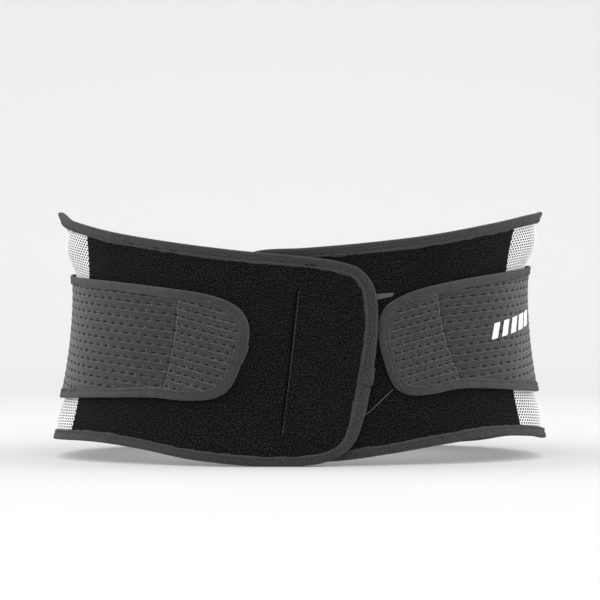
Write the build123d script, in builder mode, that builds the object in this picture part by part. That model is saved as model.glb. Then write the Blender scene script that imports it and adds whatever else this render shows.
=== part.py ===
from build123d import *
import os
from math import cos, radians, sin

os.makedirs("parts", exist_ok=True)

# A lumbar support belt, closed round a waist, standing on its lower edge. Millimetres.
# The origin is on the floor at the middle of the loop, +X is the wearer's left, the
# front faces -Y and +Z is up. Left and right in the names are seen from the front.

# ---- Overall height ----
side_top = 180.0             # highest point of the top edge, at the side

# ---- The loop: a rounded-oblong section, narrowest at the waist ----
waist_half_width = 161.8     # centre to the body side of the belt, sideways
waist_half_depth = 118.0     # the same, front to back
squareness = 2.6             # exponent of the section; 2 is an ellipse
waist_level = 118.0          # height of the narrowest section
hip_flare = 20.4             # how much wider each side is on the floor
rib_flare = 15.5             # how much wider each side is at the section top level
rib_level = 182.0            # the level of that upper flare
depth_flare_share = 0.5      # front and back flare less than the sides

# ---- Layers, as distances outwards from the body side ----
lining_thickness = 1.5
fleece_thickness = 2.0
mesh_thickness = 3.0
sewn_gap = 0.02              # between sheets that are sewn together
edge_cover = 0.5             # how far a binding stands proud of what it covers
layer_gap = 0.4              # play between layers that come apart
hook_thickness = 1.5
strap_hook_thickness = 1.0
strap_thickness = 1.8
lumbar_lining_thickness = 1.0
core_thickness = 1.4
mark_thickness = 0.15

# ---- Widths of the tapes ----
binding_width = 8.5
strap_binding_width = 6.0
anchor_tape_width = 15.0

# ---- Hinge lines, where the fabric bends when the belt opens ----
wing_hinge_angle = 22.5      # round from the side towards the front
strap_hinge_angle = 37.0
hinge_play = 0.4             # gap between the bodies on each hinge line

# ---- Outer front wing ----
outer_end = 50.6             # how far it passes the middle
outer_top_drop = 11.5        # how far the top edge has dropped at the hinge line
outer_end_drop = 44.5        # the same at its free end
outer_bottom_side = 14.5     # bottom edge at the hinge line
outer_corners = (21.0, 27.0)  # radii of the free end's upper and lower corner
lift_start = -122.0          # where it starts to rise over the inner wing
lift_end = -60.0

# ---- Inner front wing ----
inner_end = -50.0
inner_top_drop = 6.5
inner_end_drop = 37.0
inner_bottom_side = 17.0
inner_corners = (20.0, 20.0)

# ---- Back ----
lumbar_half_width = 80.0
lumbar_edge_drop = 21.0      # how far the top edge has dropped at the panel's edges
lumbar_middle_drop = 24.0
side_bottom = 12.3           # bottom edge at the side
stay_width = 10.0
stay_thickness = 0.8
stay_places = (-56.0, -20.0, 20.0, 56.0)
stay_bottom = 15.0           # room under and over each stay
stay_top_margin = 17.0
stay_play = 0.2
casing_margin = 4.0          # how much wider a casing is than its stay
lumbar_angle = 50.0          # each side of straight back, past the panel's edges

# ---- Straps ----
left_tip = -32.0
right_tip = 52.3
strap_corners = (20.0, 14.0)  # radii of the free end's upper and lower corner
hook_inset = 7.5             # hook patch's margin inside the strap's outline
left_hook_length = 44.0
right_hook_length = 42.0
anchor_start = 70.0          # sideways place of the strap's sewn end
anchor_top = 130.0
anchor_bottom = 45.0
left_strap_top = 129.7       # the strap's edges where it passes the hinge line
left_strap_bottom = 44.0
right_strap_top = 136.0
right_strap_bottom = 49.5

# ---- Small pieces ----
tab_start = 40.0
tab_end = 62.3
tab_level = 115.0
tab_height = 3.6
tab_thickness = 1.0
closure_hook_start = -2.0
closure_hook_margin = 3.0
mark_start = 131.0
mark_pitch = 6.4
mark_bars = 4
mark_height = 10.0
mark_level = 91.0
mark_rise = 1.2
mark_bar_width = 3.6

# Layers that follow from the values above.
panel_thickness = lining_thickness + fleece_thickness
overlap_lift = panel_thickness + layer_gap + hook_thickness
strap_inside = panel_thickness + layer_gap + strap_hook_thickness
strap_outside = strap_inside + strap_thickness
core_outside = lumbar_lining_thickness + core_thickness
lumbar_top_edge = side_top - lumbar_edge_drop
lumbar_top_middle = side_top - lumbar_middle_drop
outer_top_side = side_top - outer_top_drop
inner_top_side = side_top - inner_top_drop
stay_length = lumbar_top_middle - stay_bottom - stay_top_margin
casing_width = stay_width + casing_margin
casing_length = stay_length + casing_margin
stay_inside = lumbar_lining_thickness + (core_thickness - stay_thickness) / 2
left_hinge = 180 + wing_hinge_angle
right_hinge = 360 - wing_hinge_angle
left_peel = 180 + strap_hinge_angle
right_peel = 360 - strap_hinge_angle
half_play = 0.5 * hinge_play / radians(waist_half_width)
back_start = half_play - wing_hinge_angle
back_end = left_hinge - half_play
outer_reach = 305.0          # angles past each wing's free end
inner_reach = 235.0
reach = waist_half_width + 2 * hip_flare    # longer than any half of the loop
overrun = 6.0                # how far a sheet passes the outline that trims it
section_count = 9
levels = [-overrun + (side_top + 2 * overrun) * i / (section_count - 1) for i in range(section_count)]
step_angle = 5.0


def flare(height):
    """How much wider one side is at this height than at the waist."""
    if height > waist_level:
        return rib_flare * ((height - waist_level) / (rib_level - waist_level)) ** 2
    return hip_flare * ((waist_level - height) / waist_level) ** 2


def lift(x):
    """How far the outer wing has risen over the inner wing at this place."""
    t = min(max((x - lift_start) / (lift_end - lift_start), 0.0), 1.0)
    return overlap_lift * t * t * (3 - 2 * t)


def loop_point(angle, height, layer, lifted):
    """The point of one layer at a polar angle round the loop."""
    half_width = waist_half_width + flare(height)
    half_depth = waist_half_depth + flare(height) * depth_flare_share
    c, s = cos(radians(angle)), sin(radians(angle))
    across, along = abs(c) / half_width, abs(s) / half_depth
    radius = (across**squareness + along**squareness) ** (-1 / squareness)
    normal_x = across ** (squareness - 1) / half_width
    normal_y = along ** (squareness - 1) / half_depth
    slant = (abs(c) * normal_x + abs(s) * normal_y) / (normal_x**2 + normal_y**2) ** 0.5
    distance = layer + (lift(radius * c) if lifted else 0.0)
    return ((radius + distance / slant) * c, (radius + distance / slant) * s)


def hinge_place(angle, lowest, outermost):
    """A hinge line's place: just outside the outermost layer at the lowest level it spans."""
    x, y = loop_point(-angle, lowest, outermost + hinge_play, False)
    return round(x, 2), round(y, 2)


def loft_sheet(start, end, inside, outside, lifted=False, mode=Mode.ADD):
    """Loft a sheet of even thickness that follows the loop between two angles."""
    count = max(4, round((end - start) / step_angle))
    angles = [start + (end - start) * i / count for i in range(count + 1)]
    sections = []
    for level in levels:
        with BuildSketch(Plane.XY.offset(level)) as section:
            with BuildLine():
                near = Spline(*[loop_point(a, level, inside, lifted) for a in angles])
                far = Spline(*[loop_point(a, level, outside, lifted) for a in angles])
                Line(near @ 0, far @ 0)
                Line(near @ 1, far @ 1)
            make_face()
        sections.append(section.sketch.face())
    loft(sections, mode=mode)


def hinge_point(height, layer=panel_thickness):
    """Where a wing's hinge line is at this height, at the +X side."""
    return loop_point(-wing_hinge_angle, height, layer, False)


def outer_outline(inset=0.0):
    """The outer front wing, drawn in the front plane and open past its hinge line."""
    top, bottom = -hinge_point(outer_top_side)[0], -hinge_point(outer_bottom_side)[0]
    corner, foot = (outer_end, side_top - outer_end_drop), (outer_end - 12.6, 2.5)
    upper = [
        (-reach, side_top + overrun),
        (top, outer_top_side),
        (0.65 * top, side_top - 25.7),
        (0.24 * top, side_top - 35.5),
        corner,
    ]
    end = [corner, (outer_end, 0.7 * corner[1]), (outer_end - 4.6, 0.41 * corner[1]), foot]
    lower = [
        foot,
        (0, 0.5),
        (0.11 * bottom, 0),
        (0.4 * bottom, 3.3),
        (0.66 * bottom, 10.5),
        (0.88 * bottom, 14.2),
        (bottom, outer_bottom_side),
        (-reach, side_bottom),
    ]
    return tongue(upper, end, lower, outer_corners, inset)


def inner_outline(inset=0.0):
    """The inner front wing, whose free end lies hidden under the outer one."""
    top, bottom = hinge_point(inner_top_side)[0], hinge_point(inner_bottom_side)[0]
    corner, foot = (inner_end, side_top - inner_end_drop), (inner_end, 5)
    upper = [
        (reach, side_top + overrun),
        (top, inner_top_side),
        (0.71 * top, side_top - 19.0),
        (0.37 * top, side_top - 28.3),
        (5, side_top - 33.4),
        corner,
    ]
    lower = [
        foot,
        (0, 2.5),
        (0.22 * bottom, 4.4),
        (0.48 * bottom, 10),
        (0.76 * bottom, 16.4),
        (bottom, inner_bottom_side),
        (reach, side_bottom),
    ]
    return tongue(upper, [corner, foot], lower, inner_corners, inset)


def left_strap_outline(inset=0.0):
    """The end of the strap on the outer wing, drawn in the front plane."""
    hinge = -hinge_point(waist_level, strap_outside)[0]
    corner, foot = (left_tip - 4, 112), (left_tip - 15, 44)
    top, bottom = (hinge, left_strap_top), (hinge, left_strap_bottom)
    upper = [(-reach, left_strap_top + 7), top, (0.7 * hinge, 122.8), (0.47 * hinge, 117.6), corner]
    lower = [foot, (0.5 * hinge, 44), (0.78 * hinge, 45.4), bottom, (-reach, left_strap_bottom - 5)]
    return tongue(upper, [corner, (left_tip, 84), foot], lower, strap_corners, inset)


def right_strap_outline(inset=0.0):
    """The end of the strap on the inner wing, drawn in the front plane."""
    hinge = hinge_point(waist_level, strap_outside)[0]
    corner, foot = (right_tip + 3, 110.5), (right_tip + 13, 47)
    top, bottom = (hinge, right_strap_top), (hinge, right_strap_bottom)
    upper = [(reach, right_strap_top + 7), top, (0.67 * hinge, 125.6), (0.46 * hinge, 117), corner]
    lower = [foot, (0.55 * hinge, 47.7), (0.72 * hinge, 52), bottom, (reach, right_strap_bottom - 5)]
    return tongue(upper, [corner, (right_tip, 86), foot], lower, strap_corners, inset)


def tongue(upper, end, lower, corners, inset):
    """A face between an upper, an end and a lower edge, moved in by an inset, with two round corners."""
    inwards = inset if end[0][0] < upper[0][0] else -inset
    first, last = end[0], end[-1]
    upper = [(x, z - inset) for x, z in upper[:-1]] + [(first[0] + inwards, first[1] - inset)]
    lower = [(last[0] + inwards, last[1] + inset)] + [(x, z + inset) for x, z in lower[1:]]
    middle = [(x + inwards, z) for x, z in end[1:-1]]
    with BuildSketch(Plane.XZ) as outline:
        with BuildLine():
            Spline(*upper)
            free_end = Spline(upper[-1], *middle, lower[0])
            Spline(*lower)
            Line(lower[-1], upper[0])
        make_face()
        for place, radius in ((free_end @ 0, corners[0]), (free_end @ 1, corners[1])):
            fillet(outline.vertices().sort_by_distance(place)[0], radius - inset)
    return outline.sketch


def edge_line(points):
    """A smooth line through the points, or a straight one where they are all at one height."""
    if len({z for _, z in points}) == 1:
        return Line(points[0], points[-1])
    return Spline(*points)


def band(plane, upper, lower, upper_shift=0.0, lower_shift=0.0):
    """The region of a plane between two edge lines, each moved up or down."""
    with BuildSketch(plane) as region:
        with BuildLine():
            top = edge_line([(x, z + upper_shift) for x, z in upper])
            bottom = edge_line([(x, z + lower_shift) for x, z in lower])
            Line(top @ 0, bottom @ 0)
            Line(top @ 1, bottom @ 1)
        make_face()
    return region.sketch


def side_top_edge(front):
    """The belt's top edge along a side, drawn in the side plane."""
    hinge, edge = hinge_point(side_top)[1], 0.96 * waist_half_depth
    return [
        (1.5 * hinge, front - 9),
        (hinge, front),
        (0.6 * hinge, front + 0.5 * (side_top - front)),
        (0.12 * hinge, side_top),
        (0.22 * edge, side_top - 3.0),
        (0.53 * edge, side_top - 6.8),
        (edge, lumbar_top_edge),
        (1.3 * edge, lumbar_top_edge),
    ]


def side_bottom_edge(front):
    """The belt's bottom edge along a side, drawn in the side plane."""
    hinge, edge = hinge_point(0)[1], 1.02 * waist_half_depth
    start, end = (1.5 * hinge, front + 1), (1.4 * edge, 0)
    dip = [(0.36 * edge, 12.0), (0.62 * edge, 9.8), (0.84 * edge, 4.6), (edge, 0.4)]
    return [start, (hinge, front), (0, side_bottom), *dip, end]


def lumbar_top():
    """The top edge over the lumbar panel, drawn in the front plane."""
    half = lumbar_half_width
    return [(-half, lumbar_top_edge), (0, lumbar_top_middle), (half, lumbar_top_edge)]


def lumbar_bottom():
    """The straight bottom edge of the lumbar panel, which rests on the floor."""
    return [(-lumbar_half_width, 0), (0, 0), (lumbar_half_width, 0)]


def back_region(top_shift, bottom_shift, border=None):
    """The solid that trims a sheet to the back and sides, or to the border along one edge."""
    regions = []
    for front_top, front_bottom, side in (
        (outer_top_side, outer_bottom_side, -1),
        (inner_top_side, inner_bottom_side, 1),
    ):
        plane = Plane.YZ.offset(side * lumbar_half_width)
        edges = (side_top_edge(front_top), side_bottom_edge(front_bottom))
        regions.append((plane, edges, side * reach))
    regions.append((Plane.XZ, (lumbar_top(), lumbar_bottom()), -reach))
    with BuildPart() as region:
        for plane, (upper, lower), depth in regions:
            if border == "top":
                lower = upper
            if border == "bottom":
                upper = lower
            extrude(band(plane, upper, lower, top_shift, bottom_shift), amount=depth)
    return region.part


def panel_region(edge_shift):
    """The lumbar panel's face, less a border of this width along its top and bottom."""
    return band(Plane.XZ, lumbar_top(), lumbar_bottom(), -edge_shift, edge_shift)


def anchor_region(side, top_front, bottom_front, shifts, border=None):
    """The strap's run along one side, or the border along one of its edges."""
    hinge, edge = hinge_point(waist_level, strap_outside)[1], 1.3 * waist_half_depth
    middle = 0.45 * edge
    upper = [(1.5 * hinge, top_front - 3), (hinge, top_front), (0, top_front + 4)]
    upper += [(middle, anchor_top + 2), (edge, anchor_top)]
    lower = [(1.5 * hinge, bottom_front), (hinge, bottom_front), (0, bottom_front - 2)]
    lower += [(middle, anchor_bottom), (edge, anchor_bottom)]
    if border == "top":
        lower = upper
    if border == "bottom":
        upper = lower
    return band(Plane.YZ.offset(side * anchor_start), upper, lower, *shifts)


def write(part, label):
    """Label a finished piece and write it."""
    part.label = label
    export_step(part, f"parts/{label}.step")


# ================= Back =================

back_face = back_region(-binding_width, binding_width)

with BuildPart() as lumbar_panel:
    loft_sheet(90 - lumbar_angle, 90 + lumbar_angle, core_outside + sewn_gap, panel_thickness)
    extrude(panel_region(binding_width), amount=-reach, mode=Mode.INTERSECT)
write(lumbar_panel.part, "lumbar_panel")

with BuildPart() as lumbar_lining:
    loft_sheet(90 - lumbar_angle, 90 + lumbar_angle, 0, lumbar_lining_thickness)
    extrude(panel_region(binding_width), amount=-reach, mode=Mode.INTERSECT)
write(lumbar_lining.part, "lumbar_lining")


def stay_slots(width, length):
    """Upright round-ended strips, one at each stay."""
    with BuildSketch(Plane.XZ) as strips:
        with Locations(*[(x, stay_bottom + stay_length / 2) for x in stay_places]):
            SlotOverall(length, width, rotation=90)
    return strips.sketch


with BuildPart() as lumbar_core:
    loft_sheet(90 - lumbar_angle, 90 + lumbar_angle, lumbar_lining_thickness + sewn_gap, core_outside)
    extrude(panel_region(binding_width), amount=-reach, mode=Mode.INTERSECT)
    extrude(stay_slots(casing_width, casing_length), amount=-reach, mode=Mode.SUBTRACT)
write(lumbar_core.part, "lumbar_core")

with BuildPart() as pockets:
    pocket_inside, pocket_outside = stay_inside - stay_play / 2, stay_inside + stay_thickness + stay_play / 2
    loft_sheet(90 - lumbar_angle, 90 + lumbar_angle, pocket_inside, pocket_outside)
    strips = stay_slots(stay_width + 2 * stay_play, stay_length + 2 * stay_play)
    extrude(strips, amount=-reach, mode=Mode.INTERSECT)

with BuildPart() as stay_casings:
    loft_sheet(90 - lumbar_angle, 90 + lumbar_angle, lumbar_lining_thickness + sewn_gap, core_outside)
    extrude(stay_slots(casing_width, casing_length), amount=-reach, mode=Mode.INTERSECT)
    add(pockets.part, mode=Mode.SUBTRACT)
write(stay_casings.part, "stay_casings")

with BuildPart() as stays:
    loft_sheet(90 - lumbar_angle, 90 + lumbar_angle, stay_inside, stay_inside + stay_thickness)
    extrude(stay_slots(stay_width, stay_length), amount=-reach, mode=Mode.INTERSECT)
for name, stay in zip(
    ("left_outer_stay", "left_inner_stay", "right_inner_stay", "right_outer_stay"),
    stays.solids().sort_by(Axis.X),
):
    write(Part(stay.wrapped), name)

with BuildPart() as left_mesh_panel:
    loft_sheet(90 + lumbar_angle / 2, back_end, 0, mesh_thickness)
    add(back_face, mode=Mode.INTERSECT)
    split(bisect_by=Plane.YZ.offset(-lumbar_half_width), keep=Keep.BOTTOM)
write(left_mesh_panel.part, "left_mesh_panel")

with BuildPart() as right_mesh_panel:
    loft_sheet(back_start, 90 - lumbar_angle / 2, 0, mesh_thickness)
    add(back_face, mode=Mode.INTERSECT)
    split(bisect_by=Plane.YZ.offset(lumbar_half_width), keep=Keep.TOP)
write(right_mesh_panel.part, "right_mesh_panel")

with BuildPart() as back_top_binding:
    loft_sheet(back_start, back_end, -edge_cover, panel_thickness + edge_cover)
    add(back_region(0, -binding_width, "top"), mode=Mode.INTERSECT)
write(back_top_binding.part, "back_top_binding")

with BuildPart() as back_bottom_binding:
    loft_sheet(back_start, back_end, -edge_cover, panel_thickness + edge_cover)
    add(back_region(binding_width, 0, "bottom"), mode=Mode.INTERSECT)
write(back_bottom_binding.part, "back_bottom_binding")

# ================= Front wings =================

outer_from, outer_to = left_hinge + half_play, outer_reach
inner_from, inner_to = inner_reach, right_hinge - half_play

with BuildPart() as outer_panel:
    loft_sheet(outer_from, outer_to, lining_thickness + sewn_gap, panel_thickness, lifted=True)
    extrude(outer_outline(binding_width), amount=reach, mode=Mode.INTERSECT)
write(outer_panel.part, "outer_panel")

with BuildPart() as outer_lining:
    loft_sheet(outer_from, outer_to, 0, lining_thickness, lifted=True)
    extrude(outer_outline(binding_width), amount=reach, mode=Mode.INTERSECT)
write(outer_lining.part, "outer_lining")

with BuildPart() as outer_binding:
    loft_sheet(outer_from, outer_to, -edge_cover, panel_thickness + edge_cover, lifted=True)
    extrude(outer_outline(), amount=reach, mode=Mode.INTERSECT)
    extrude(outer_outline(binding_width), amount=reach, mode=Mode.SUBTRACT)
write(outer_binding.part, "outer_binding")

with BuildPart() as closure_hook_patch:
    loft_sheet(outer_from, outer_to, -hook_thickness, -sewn_gap, lifted=True)
    extrude(outer_outline(binding_width + closure_hook_margin), amount=reach, mode=Mode.INTERSECT)
    split(bisect_by=Plane.YZ.offset(closure_hook_start), keep=Keep.TOP)
write(closure_hook_patch.part, "closure_hook_patch")

with BuildPart() as finger_tab:
    loft_sheet(outer_from, outer_to, -edge_cover - tab_thickness, -edge_cover - sewn_gap, lifted=True)
    with BuildSketch(Plane.XZ):
        with Locations(((tab_start + tab_end) / 2, tab_level)):
            SlotOverall(tab_end - tab_start, tab_height)
    extrude(amount=reach, mode=Mode.INTERSECT)
write(finger_tab.part, "finger_tab")

with BuildPart() as inner_panel:
    loft_sheet(inner_from, inner_to, lining_thickness + sewn_gap, panel_thickness)
    extrude(inner_outline(binding_width), amount=reach, mode=Mode.INTERSECT)
write(inner_panel.part, "inner_panel")

with BuildPart() as inner_lining:
    loft_sheet(inner_from, inner_to, 0, lining_thickness)
    extrude(inner_outline(binding_width), amount=reach, mode=Mode.INTERSECT)
write(inner_lining.part, "inner_lining")

with BuildPart() as inner_binding:
    loft_sheet(inner_from, inner_to, -edge_cover, panel_thickness + edge_cover)
    extrude(inner_outline(), amount=reach, mode=Mode.INTERSECT)
    extrude(inner_outline(binding_width), amount=reach, mode=Mode.SUBTRACT)
write(inner_binding.part, "inner_binding")

# ================= Straps =================

left_hook_end, right_hook_end = left_tip - left_hook_length, right_tip + right_hook_length
strap_runs = (
    # name, side, outline, heights at the hinge line, where the hook patch ends, and whether it rises
    ("left", -1, left_strap_outline, left_strap_top, left_strap_bottom, left_hook_end, True),
    ("right", 1, right_strap_outline, right_strap_top, right_strap_bottom, right_hook_end, False),
)

for name, side, outline, top_front, bottom_front, hook_edge, lifted in strap_runs:
    if side < 0:
        anchor_span = (90 + lumbar_angle / 2, back_end)
        side_span = (left_hinge + half_play, left_peel - half_play)
        pull_span = (left_peel + half_play, outer_reach)
        hook_side = Keep.TOP
    else:
        anchor_span = (back_start, 90 - lumbar_angle / 2)
        side_span = (right_peel + half_play, right_hinge - half_play)
        pull_span = (inner_reach, right_peel - half_play)
        hook_side = Keep.BOTTOM
    width = strap_binding_width

    with BuildPart() as strap_anchor:
        loft_sheet(*anchor_span, strap_inside, strap_outside)
        face = anchor_region(side, top_front, bottom_front, (-width, width))
        extrude(face, amount=side * reach, mode=Mode.INTERSECT)
    write(strap_anchor.part, f"{name}_strap_anchor")

    with BuildPart() as anchor_borders:
        extrude(anchor_region(side, top_front, bottom_front, (0, -width), "top"), amount=side * reach)
        extrude(anchor_region(side, top_front, bottom_front, (width, 0), "bottom"), amount=side * reach)

    with BuildPart() as anchor_binding:
        loft_sheet(*anchor_span, strap_inside - edge_cover, strap_outside + edge_cover)
        add(anchor_borders.part, mode=Mode.INTERSECT)
    write(anchor_binding.part, f"{name}_anchor_binding")

    with BuildPart() as anchor_tape:
        loft_sheet(*anchor_span, panel_thickness + sewn_gap, strap_inside - sewn_gap)
        face = anchor_region(side, top_front, bottom_front, (-width, width))
        extrude(face, amount=side * anchor_tape_width, mode=Mode.INTERSECT)
    write(anchor_tape.part, f"{name}_anchor_tape")

    for piece, span in (("side", side_span), ("strap", pull_span)):
        with BuildPart() as strap_web:
            loft_sheet(*span, strap_inside, strap_outside, lifted=lifted)
            extrude(outline(width), amount=reach, mode=Mode.INTERSECT)
        write(strap_web.part, f"{name}_strap_side" if piece == "side" else f"{name}_strap_web")

        with BuildPart() as strap_binding:
            loft_sheet(*span, strap_inside - edge_cover, strap_outside + edge_cover, lifted=lifted)
            extrude(outline(), amount=reach, mode=Mode.INTERSECT)
            extrude(outline(width), amount=reach, mode=Mode.SUBTRACT)
        write(strap_binding.part, f"{name}_{piece}_binding")

    with BuildPart() as strap_hook:
        hook_inside, hook_outside = strap_inside - strap_hook_thickness, strap_inside - sewn_gap
        loft_sheet(*pull_span, hook_inside, hook_outside, lifted=lifted)
        extrude(outline(hook_inset), amount=reach, mode=Mode.INTERSECT)
        split(bisect_by=Plane.YZ.offset(hook_edge), keep=hook_side)
    write(strap_hook.part, f"{name}_strap_hook")

with BuildPart() as strap_mark:
    mark_inside, mark_outside = strap_outside + sewn_gap, strap_outside + mark_thickness
    loft_sheet(right_peel + half_play, right_hinge - half_play, mark_inside, mark_outside)
    with BuildSketch(Plane.XZ):
        places = [(mark_start + mark_pitch * i, mark_level + mark_rise * i) for i in range(mark_bars)]
        with Locations(*places):
            Rectangle(mark_bar_width, mark_height, align=(Align.MIN, Align.CENTER))
    extrude(amount=reach, mode=Mode.INTERSECT)
write(strap_mark.part, "strap_mark")

print("wing hinge line", hinge_place(wing_hinge_angle, outer_bottom_side, panel_thickness + edge_cover))
print("strap hinge line", hinge_place(strap_hinge_angle, left_strap_bottom, strap_outside + edge_cover))
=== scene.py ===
import math

import bpy
import numpy as np
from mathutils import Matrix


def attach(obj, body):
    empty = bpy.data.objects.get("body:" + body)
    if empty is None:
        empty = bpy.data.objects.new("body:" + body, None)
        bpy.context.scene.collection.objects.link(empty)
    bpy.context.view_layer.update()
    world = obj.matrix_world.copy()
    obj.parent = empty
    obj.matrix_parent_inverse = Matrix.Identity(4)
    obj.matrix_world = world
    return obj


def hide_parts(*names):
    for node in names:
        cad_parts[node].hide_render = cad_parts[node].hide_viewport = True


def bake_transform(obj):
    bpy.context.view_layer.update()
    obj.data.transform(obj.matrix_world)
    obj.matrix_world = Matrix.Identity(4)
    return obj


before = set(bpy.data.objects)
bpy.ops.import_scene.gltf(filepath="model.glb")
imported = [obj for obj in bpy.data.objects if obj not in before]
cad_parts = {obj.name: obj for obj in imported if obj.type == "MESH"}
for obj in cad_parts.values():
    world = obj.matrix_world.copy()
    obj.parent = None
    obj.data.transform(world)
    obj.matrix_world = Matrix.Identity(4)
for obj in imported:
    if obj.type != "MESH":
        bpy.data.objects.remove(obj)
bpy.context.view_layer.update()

# ---------------------------------------------------------------------------------------------
# Lumbar lining and cover: the back of the belt, two layers of black brushed knit sewn round a
# foam core, with a crowned channel over each steel stay and a row of stitches on either side.
# The whole belt is cut flat and bent round one rounded-oblong section, which is set out here.
# ---------------------------------------------------------------------------------------------
MM = 0.001
WAIST_HALF_WIDTH, WAIST_HALF_DEPTH, SQUARENESS = 0.1618, 0.118, 2.6
WAIST_LEVEL, HIP_FLARE, RIB_FLARE, RIB_RISE = 0.118, 0.0204, 0.0155, 0.064
LIFT_FROM, LIFT_TO, LIFT = -0.122, -0.060, 0.0054
PANEL = 0.0035


def flare(z):
    above = RIB_FLARE * (np.maximum(z - WAIST_LEVEL, 0) / RIB_RISE) ** 2
    return above + HIP_FLARE * (np.maximum(WAIST_LEVEL - z, 0) / WAIST_LEVEL) ** 2


def around(turn, z, out, lifted=False):
    """Points at an angle round from the middle of the front, a height, and a distance outwards."""
    s, c = np.sin(turn), -np.cos(turn)
    half_width, half_depth = WAIST_HALF_WIDTH + flare(z), WAIST_HALF_DEPTH + flare(z) / 2
    across, along = np.abs(s) / half_width, np.abs(c) / half_depth
    radius = (across**SQUARENESS + along**SQUARENESS) ** (-1 / SQUARENESS)
    nx, ny = across ** (SQUARENESS - 1) / half_width, along ** (SQUARENESS - 1) / half_depth
    slant = (np.abs(s) * nx + np.abs(c) * ny) / np.hypot(nx, ny)
    if lifted:
        t = np.clip((radius * s - LIFT_FROM) / (LIFT_TO - LIFT_FROM), 0, 1)
        out = out + LIFT * t * t * (3 - 2 * t) * (c < 0)
    reach = radius + out / slant
    return np.stack([reach * s, reach * c, z + 0 * reach], -1)


TURNS = np.radians(np.linspace(-360, 360, 5761))
girth = around(TURNS, np.full(TURNS.shape, WAIST_LEVEL), 0.0)
GIRTH = np.concatenate([[0], np.cumsum(np.linalg.norm(np.diff(girth, axis=0), axis=1))])
GIRTH -= GIRTH[-1] / 2
HALF_GIRTH = np.interp(math.pi, TURNS, GIRTH)


def wrap(u, z, out, lifted=False):
    """Bend flat cloth round the waist: u runs along the belt from the middle of the front."""
    return around(np.interp(u, GIRTH, TURNS), z, out, lifted)


def place(z, front=None, side=None, back=None):
    """How far along the belt a point lies, by its x on the front or back, or its y on a side."""
    z = z * MM
    if side is not None:
        left, y = side
        turns = np.linspace(0.55, math.pi - 0.45, 900)
        got = around(turns, np.full(turns.shape, z), PANEL)[:, 1]
        return (-1 if left else 1) * np.interp(np.interp(y * MM, got, turns), TURNS, GIRTH)
    turns = np.linspace(-1.45, 1.45, 1200)
    if back is not None:
        got = around(turns + math.pi, np.full(turns.shape, z), PANEL)[:, 0]
        turn = math.pi + np.interp(back * MM, got[::-1], turns[::-1])
        return np.interp(turn - (2 * math.pi if turn > math.pi else 0), TURNS, GIRTH)
    got = around(turns, np.full(turns.shape, z), PANEL)[:, 0]
    return np.interp(np.interp(front * MM, got, turns), TURNS, GIRTH)


def curve(points, step=0.002):
    """A smooth line through a few flat points, sampled evenly."""
    p = np.asarray(points, float)
    p = np.concatenate([[2 * p[0] - p[1]], p, [2 * p[-1] - p[-2]]])
    run = []
    for a, b, c, d in zip(p, p[1:], p[2:], p[3:]):
        ab, bc, cd = (max(np.linalg.norm(k) ** 0.5, 1e-6) for k in (b - a, c - b, d - c))
        m1 = (b - a) / ab - (c - a) / (ab + bc) + (c - b) / bc
        m2 = (c - b) / bc - (d - b) / (bc + cd) + (d - c) / cd
        t = np.linspace(0, 1, 24, endpoint=False)[:, None]
        h = (2 * t**3 - 3 * t**2 + 1, t**3 - 2 * t**2 + t, 3 * t**2 - 2 * t**3, t**3 - t**2)
        run.append(h[0] * b + h[1] * m1 * bc + h[2] * c + h[3] * m2 * bc)
    return even(np.concatenate(run + [p[-2:-1]]), step)


def even(line, step=0.002):
    """The same line with its points spread evenly."""
    length = np.concatenate([[0], np.cumsum(np.linalg.norm(np.diff(line, axis=0), axis=1))])
    at = np.linspace(0, length[-1], max(3, round(length[-1] / step) + 1))
    return np.stack([np.interp(at, length, line[:, 0]), np.interp(at, length, line[:, 1])], -1)


def moved_in(line, distance):
    """A line shifted to its right-hand side, as the inside of a seam allowance."""
    d = np.gradient(line, axis=0)
    d /= np.linalg.norm(d, axis=1)[:, None]
    return line + np.reshape(distance, (-1, 1)) * np.stack([d[:, 1], -d[:, 0]], -1)


def piece(name, points, faces, uv, material, smooth=True):
    """A mesh with a flat-pattern UV map and one material."""
    mesh = bpy.data.meshes.new(name)
    mesh.from_pydata(np.asarray(points).tolist(), [], [list(f) for f in faces])
    layer = mesh.uv_layers.new(name="cloth")
    loops = np.zeros(len(mesh.loops), int)
    mesh.loops.foreach_get("vertex_index", loops)
    layer.data.foreach_set("uv", np.asarray(uv, float)[loops].ravel())
    mesh.materials.append(material)
    mesh.shade_smooth() if smooth else None
    obj = bpy.data.objects.new(name, mesh)
    bpy.context.scene.collection.objects.link(obj)
    return obj


def grid_faces(rows, columns, base=0, flip=False, closed=False):
    """Quads between the points of a grid that is stored row by row."""
    i = np.arange(rows - 1)[:, None]
    j = np.arange(columns if closed else columns - 1)[None, :]
    k = (j + 1) % columns
    quads = np.stack([i * columns + j, i * columns + k, (i + 1) * columns + k, (i + 1) * columns + j], -1)
    quads = quads.reshape(-1, 4) + base
    return quads[:, ::-1] if flip else quads


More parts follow.
